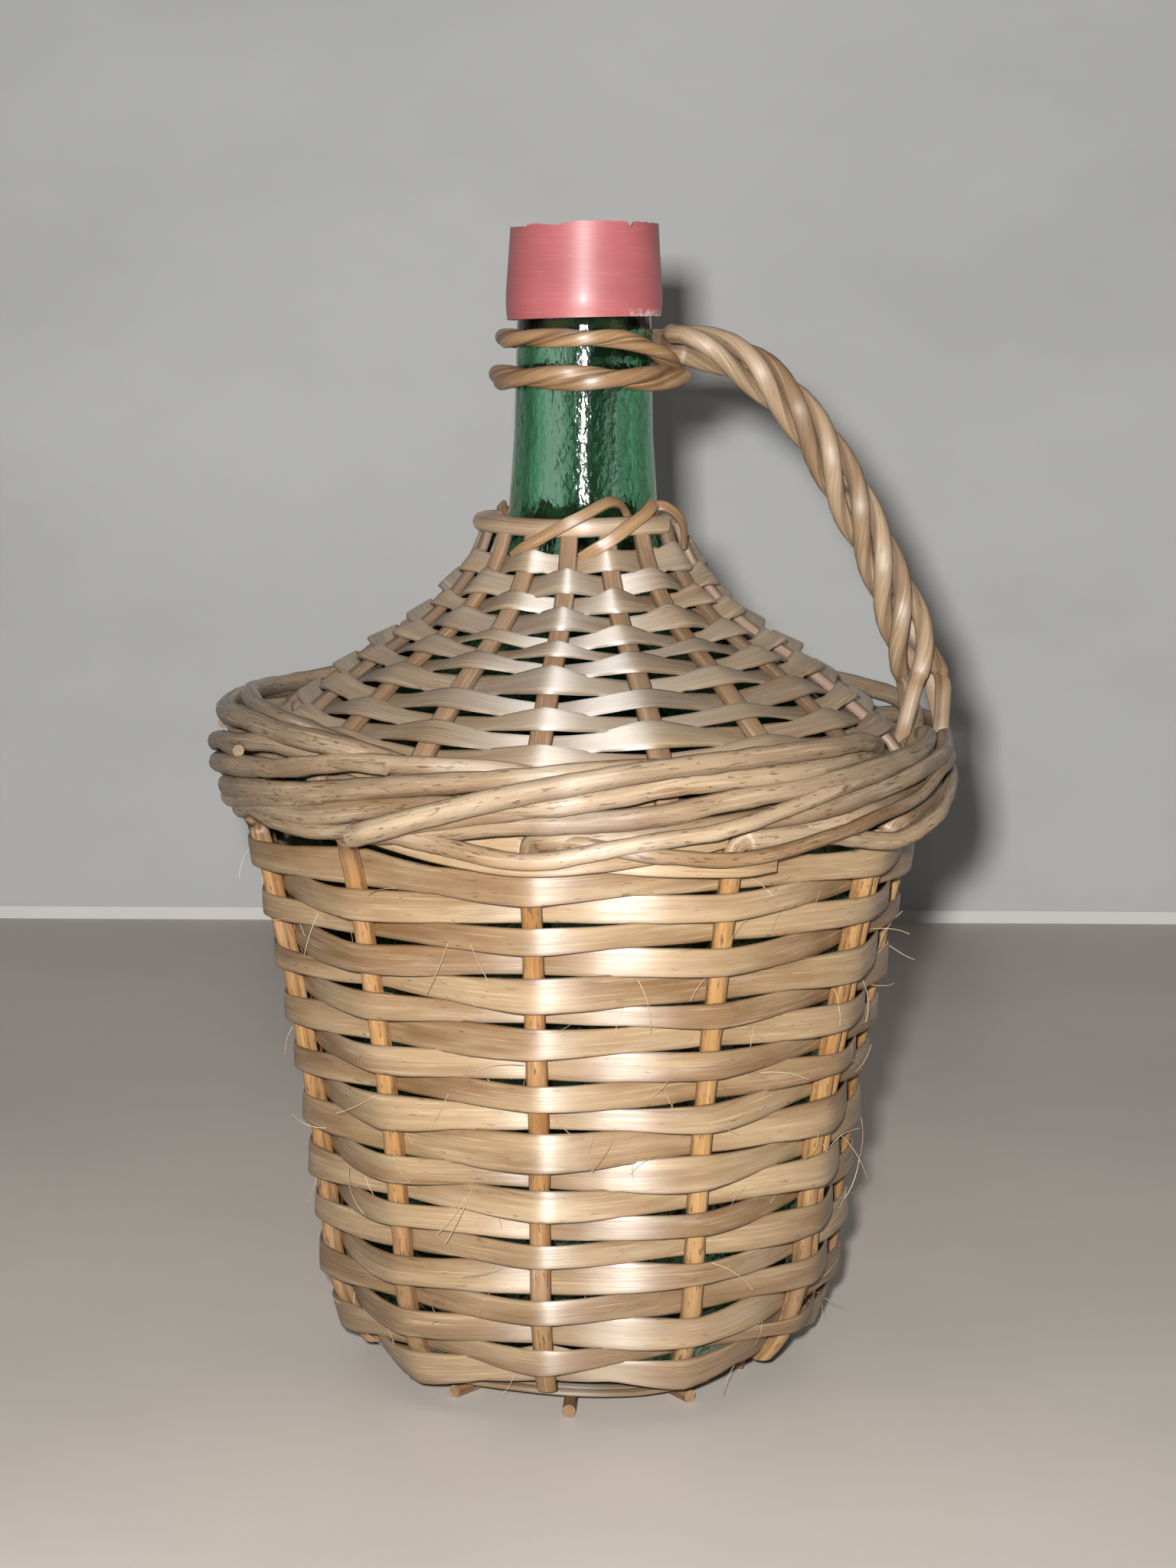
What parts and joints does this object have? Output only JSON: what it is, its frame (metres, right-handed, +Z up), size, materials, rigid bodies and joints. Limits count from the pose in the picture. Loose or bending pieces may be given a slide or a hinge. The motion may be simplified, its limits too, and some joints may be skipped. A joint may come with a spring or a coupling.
{
  "type": "demijohn",
  "caption": "Wicker demijohn: a green glass bottle in a woven willow basket with a rolled border, a twisted side handle, a sleeve cap and a cork.",
  "frame": {"origin": "middle of the base, on the surface that the demijohn stands on", "axes": "+Z up along the bottle's axis, +X towards the handle, -Y towards the side seen in the picture"},
  "size_m": [0.206, 0.2061, 0.3155],
  "materials": {
    "green_glass": "uneven blown green glass",
    "red_plastic": "worn semi-gloss",
    "stained_cork": "dark stained cork",
    "round_willow": "peeled round willow",
    "flat_willow": "split willow skeins, satin",
    "handle_willow": "worn round willow, satin"
  },
  "bodies": {
    "demijohn": {"glass_bottle": "green_glass", "base_hub": "round_willow", "base_spoke_1": "round_willow", "base_spoke_2": "round_willow", "base_spoke_3": "round_willow", "base_spoke_4": "round_willow", "base_spoke_5": "round_willow", "base_spoke_6": "round_willow", "base_spoke_7": "round_willow", "base_spoke_8": "round_willow", "base_spoke_9": "round_willow", "base_spoke_10": "round_willow", "base_mat": "flat_willow", "body_stake_01": "round_willow", "body_stake_02": "round_willow", "body_stake_03": "round_willow", "body_stake_04": "round_willow", "body_stake_05": "round_willow", "body_stake_06": "round_willow", "body_stake_07": "round_willow", "body_stake_08": "round_willow", "body_stake_09": "round_willow", "body_stake_10": "round_willow", "body_stake_11": "round_willow", "body_weave": "flat_willow", "shoulder_rib_01": "round_willow", "shoulder_rib_02": "round_willow", "shoulder_rib_03": "round_willow", "shoulder_rib_04": "round_willow", "shoulder_rib_05": "round_willow", "shoulder_rib_06": "round_willow", "shoulder_rib_07": "round_willow", "shoulder_rib_08": "round_willow", "shoulder_rib_09": "round_willow", "shoulder_rib_10": "round_willow", "shoulder_rib_11": "round_willow", "shoulder_rib_12": "round_willow", "shoulder_rib_13": "round_willow", "shoulder_rib_14": "round_willow", "shoulder_rib_15": "round_willow", "shoulder_rib_16": "round_willow", "shoulder_rib_17": "round_willow", "shoulder_weave": "flat_willow", "collar_ring": "round_willow", "neck_ring_upper": "handle_willow", "neck_ring_lower_a": "handle_willow", "neck_ring_lower_b": "handle_willow", "handle_strand_1": "handle_willow", "handle_strand_2": "handle_willow", "handle_strand_3": "handle_willow", "handle_strand_4": "handle_willow"},
    "cap": {"red_cap": "red_plastic"},
    "cork": {"cork_stopper": "stained_cork"}
  },
  "joints": [
    {"name": "cap_lift", "type": "slide", "parent": "demijohn", "child": "cap", "axis": [0, 0, 1], "range_m": [0, 0.04]},
    {"name": "cork_pull", "type": "slide", "parent": "demijohn", "child": "cork", "axis": [0, 0, 1], "range_m": [0, 0.035]}
  ]
}
